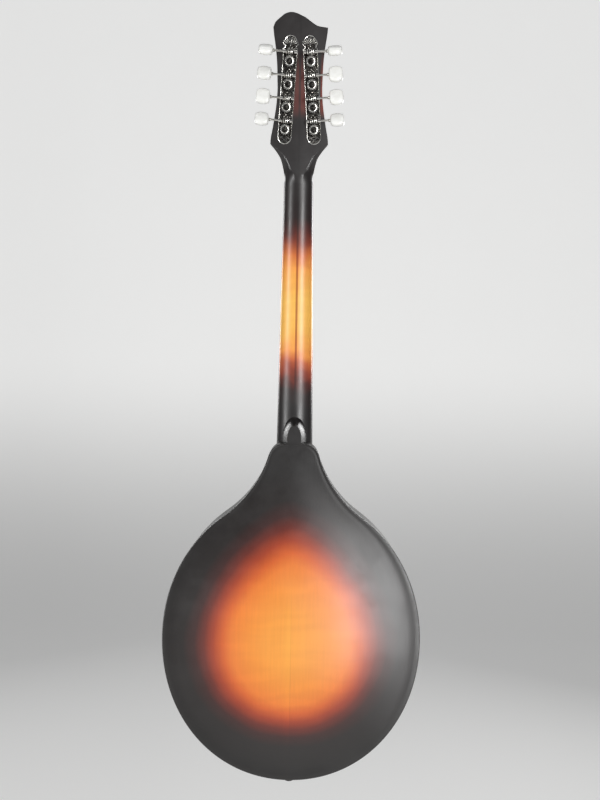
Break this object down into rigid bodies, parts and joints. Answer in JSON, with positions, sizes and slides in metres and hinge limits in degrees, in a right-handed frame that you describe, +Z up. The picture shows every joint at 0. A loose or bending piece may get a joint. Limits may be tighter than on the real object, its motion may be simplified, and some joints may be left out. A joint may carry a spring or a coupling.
{
  "type": "octave mandolin",
  "caption": "Octave mandolin with a carved teardrop body, paired strings, geared tuners on two strips, a height-adjustable bridge and a sliding tailpiece cover.",
  "frame": {"origin": "centre of the nut's edge where the scale starts, on the fretboard's top", "axes": "+Z up from the tail to the headstock, +Y out of the front towards the strings, +X towards the bass strings"},
  "size_m": [0.2964, 0.1283, 0.8727],
  "materials": {
    "sunburst_spruce": "satin sunburst lacquer on spruce",
    "sunburst_maple": "satin sunburst lacquer on maple",
    "raw_inner_wood": "bare wood",
    "ebony": "oiled ebony",
    "bone": "polished bone",
    "black_facing": "satin black",
    "plated_steel": "bright plating",
    "engraved_plate": "bright engraved plate",
    "pearloid": "glossy pearloid",
    "wound_bronze": "wound bronze",
    "string_steel": "plain steel"
  },
  "bodies": {
    "instrument": {"soundboard": "sunburst_spruce", "back_plate": "sunburst_maple", "rib_bass": "sunburst_maple", "rib_treble": "sunburst_maple", "neck": "sunburst_maple", "neck_block": "raw_inner_wood", "tail_block": "raw_inner_wood", "lining_top_bass": "raw_inner_wood", "lining_top_treble": "raw_inner_wood", "lining_back_bass": "raw_inner_wood", "lining_back_treble": "raw_inner_wood", "tone_bar_bass": "raw_inner_wood", "tone_bar_treble": "raw_inner_wood", "fretboard": "ebony", "bridge_base": "ebony", "end_pin": "ebony", "nut": "bone", "headstock_veneer": "black_facing", "truss_rod_cover": "black_facing", "truss_rod": "plated_steel", "tailpiece_base": "plated_steel", "tuner_plate_bass": "engraved_plate", "tuner_plate_treble": "engraved_plate", "string_G_outer": "wound_bronze", "string_G_inner": "wound_bronze", "string_D_outer": "wound_bronze", "string_D_inner": "wound_bronze", "string_A_outer": "string_steel", "string_A_inner": "string_steel", "string_E_outer": "string_steel", "string_E_inner": "string_steel"},
    "knob_bass_1": {"tuner_worm_bass_1": "plated_steel", "tuner_button_bass_1": "pearloid"},
    "post_bass_1": {"tuner_post_bass_1": "plated_steel"},
    "knob_bass_2": {"tuner_worm_bass_2": "plated_steel", "tuner_button_bass_2": "pearloid"},
    "post_bass_2": {"tuner_post_bass_2": "plated_steel"},
    "knob_bass_3": {"tuner_worm_bass_3": "plated_steel", "tuner_button_bass_3": "pearloid"},
    "post_bass_3": {"tuner_post_bass_3": "plated_steel"},
    "knob_bass_4": {"tuner_worm_bass_4": "plated_steel", "tuner_button_bass_4": "pearloid"},
    "post_bass_4": {"tuner_post_bass_4": "plated_steel"},
    "knob_treble_1": {"tuner_worm_treble_1": "plated_steel", "tuner_button_treble_1": "pearloid"},
    "post_treble_1": {"tuner_post_treble_1": "plated_steel"},
    "knob_treble_2": {"tuner_worm_treble_2": "plated_steel", "tuner_button_treble_2": "pearloid"},
    "post_treble_2": {"tuner_post_treble_2": "plated_steel"},
    "knob_treble_3": {"tuner_worm_treble_3": "plated_steel", "tuner_button_treble_3": "pearloid"},
    "post_treble_3": {"tuner_post_treble_3": "plated_steel"},
    "knob_treble_4": {"tuner_worm_treble_4": "plated_steel", "tuner_button_treble_4": "pearloid"},
    "post_treble_4": {"tuner_post_treble_4": "plated_steel"},
    "saddle": {"bridge_saddle": "ebony"},
    "wheel_bass": {"bridge_wheel_bass": "plated_steel"},
    "wheel_treble": {"bridge_wheel_treble": "plated_steel"},
    "tail_cover": {"tailpiece_cover": "plated_steel"},
    "rod_nut": {"truss_rod_nut": "plated_steel"}
  },
  "joints": [
    {"name": "knob_turn_bass_1", "type": "hinge", "parent": "instrument", "child": "knob_bass_1", "pos_m": [0.01585, -0.04686, 0.06094], "axis": [0.9977, -0.0216, 0.0645], "continuous": true},
    {"name": "post_turn_bass_1", "type": "hinge", "parent": "instrument", "child": "post_bass_1", "pos_m": [0.01646, -0.03889, 0.05413], "axis": [0, 0.9483, 0.3173], "continuous": true},
    {"name": "knob_turn_bass_2", "type": "hinge", "parent": "instrument", "child": "knob_bass_2", "pos_m": [0.01428, -0.05414, 0.0827], "axis": [0.9977, -0.0216, 0.0645], "continuous": true},
    {"name": "post_turn_bass_2", "type": "hinge", "parent": "instrument", "child": "post_bass_2", "pos_m": [0.01489, -0.04617, 0.0759], "axis": [0, 0.9483, 0.3173], "continuous": true},
    {"name": "knob_turn_bass_3", "type": "hinge", "parent": "instrument", "child": "knob_bass_3", "pos_m": [0.01272, -0.06142, 0.10446], "axis": [0.9977, -0.0216, 0.0645], "continuous": true},
    {"name": "post_turn_bass_3", "type": "hinge", "parent": "instrument", "child": "post_bass_3", "pos_m": [0.01333, -0.05345, 0.09766], "axis": [0, 0.9483, 0.3173], "continuous": true},
    {"name": "knob_turn_bass_4", "type": "hinge", "parent": "instrument", "child": "knob_bass_4", "pos_m": [0.01115, -0.0687, 0.12622], "axis": [0.9977, -0.0216, 0.0645], "continuous": true},
    {"name": "post_turn_bass_4", "type": "hinge", "parent": "instrument", "child": "post_bass_4", "pos_m": [0.01177, -0.06073, 0.11942], "axis": [0, 0.9483, 0.3173], "continuous": true},
    {"name": "knob_turn_treble_1", "type": "hinge", "parent": "instrument", "child": "knob_treble_1", "pos_m": [-0.01585, -0.04686, 0.06094], "axis": [-0.9977, -0.0216, 0.0645], "continuous": true},
    {"name": "post_turn_treble_1", "type": "hinge", "parent": "instrument", "child": "post_treble_1", "pos_m": [-0.01646, -0.03889, 0.05413], "axis": [0, 0.9483, 0.3173], "continuous": true},
    {"name": "knob_turn_treble_2", "type": "hinge", "parent": "instrument", "child": "knob_treble_2", "pos_m": [-0.01428, -0.05414, 0.0827], "axis": [-0.9977, -0.0216, 0.0645], "continuous": true},
    {"name": "post_turn_treble_2", "type": "hinge", "parent": "instrument", "child": "post_treble_2", "pos_m": [-0.01489, -0.04617, 0.0759], "axis": [0, 0.9483, 0.3173], "continuous": true},
    {"name": "knob_turn_treble_3", "type": "hinge", "parent": "instrument", "child": "knob_treble_3", "pos_m": [-0.01272, -0.06142, 0.10446], "axis": [-0.9977, -0.0216, 0.0645], "continuous": true},
    {"name": "post_turn_treble_3", "type": "hinge", "parent": "instrument", "child": "post_treble_3", "pos_m": [-0.01333, -0.05345, 0.09766], "axis": [0, 0.9483, 0.3173], "continuous": true},
    {"name": "knob_turn_treble_4", "type": "hinge", "parent": "instrument", "child": "knob_treble_4", "pos_m": [-0.01115, -0.0687, 0.12622], "axis": [-0.9977, -0.0216, 0.0645], "continuous": true},
    {"name": "post_turn_treble_4", "type": "hinge", "parent": "instrument", "child": "post_treble_4", "pos_m": [-0.01177, -0.06073, 0.11942], "axis": [0, 0.9483, 0.3173], "continuous": true},
    {"name": "saddle_height", "type": "slide", "parent": "instrument", "child": "saddle", "axis": [0, 1, 0], "range_m": [-0.0025, 0]},
    {"name": "wheel_turn_bass", "type": "hinge", "parent": "saddle", "child": "wheel_bass", "pos_m": [0.033, 0.04213, -0.57828], "axis": [0, 1, 0], "range_deg": [-1285.71, 0]},
    {"name": "wheel_turn_treble", "type": "hinge", "parent": "saddle", "child": "wheel_treble", "pos_m": [-0.033, 0.04213, -0.57828], "axis": [0, 1, 0], "range_deg": [-1285.71, 0]},
    {"name": "cover_slide", "type": "slide", "parent": "instrument", "child": "tail_cover", "axis": [0, -0.2788, -0.9604], "range_m": [0, 0.045]},
    {"name": "rod_nut_turn", "type": "hinge", "parent": "instrument", "child": "rod_nut", "pos_m": [0, -0.01127, -0.00089], "axis": [0, -0.0785, 0.9969], "range_deg": [-360, 360]}
  ],
  "couplings": [
    {"joint": "post_turn_bass_1", "follows": "knob_turn_bass_1", "ratio": -0.071429},
    {"joint": "post_turn_bass_2", "follows": "knob_turn_bass_2", "ratio": -0.071429},
    {"joint": "post_turn_bass_3", "follows": "knob_turn_bass_3", "ratio": -0.071429},
    {"joint": "post_turn_bass_4", "follows": "knob_turn_bass_4", "ratio": -0.071429},
    {"joint": "post_turn_treble_1", "follows": "knob_turn_treble_1", "ratio": 0.071429},
    {"joint": "post_turn_treble_2", "follows": "knob_turn_treble_2", "ratio": 0.071429},
    {"joint": "post_turn_treble_3", "follows": "knob_turn_treble_3", "ratio": 0.071429},
    {"joint": "post_turn_treble_4", "follows": "knob_turn_treble_4", "ratio": 0.071429},
    {"joint": "saddle_height", "follows": "wheel_turn_bass", "m_per_rad": 0.00011141},
    {"joint": "wheel_turn_treble", "follows": "wheel_turn_bass", "ratio": 1}
  ]
}
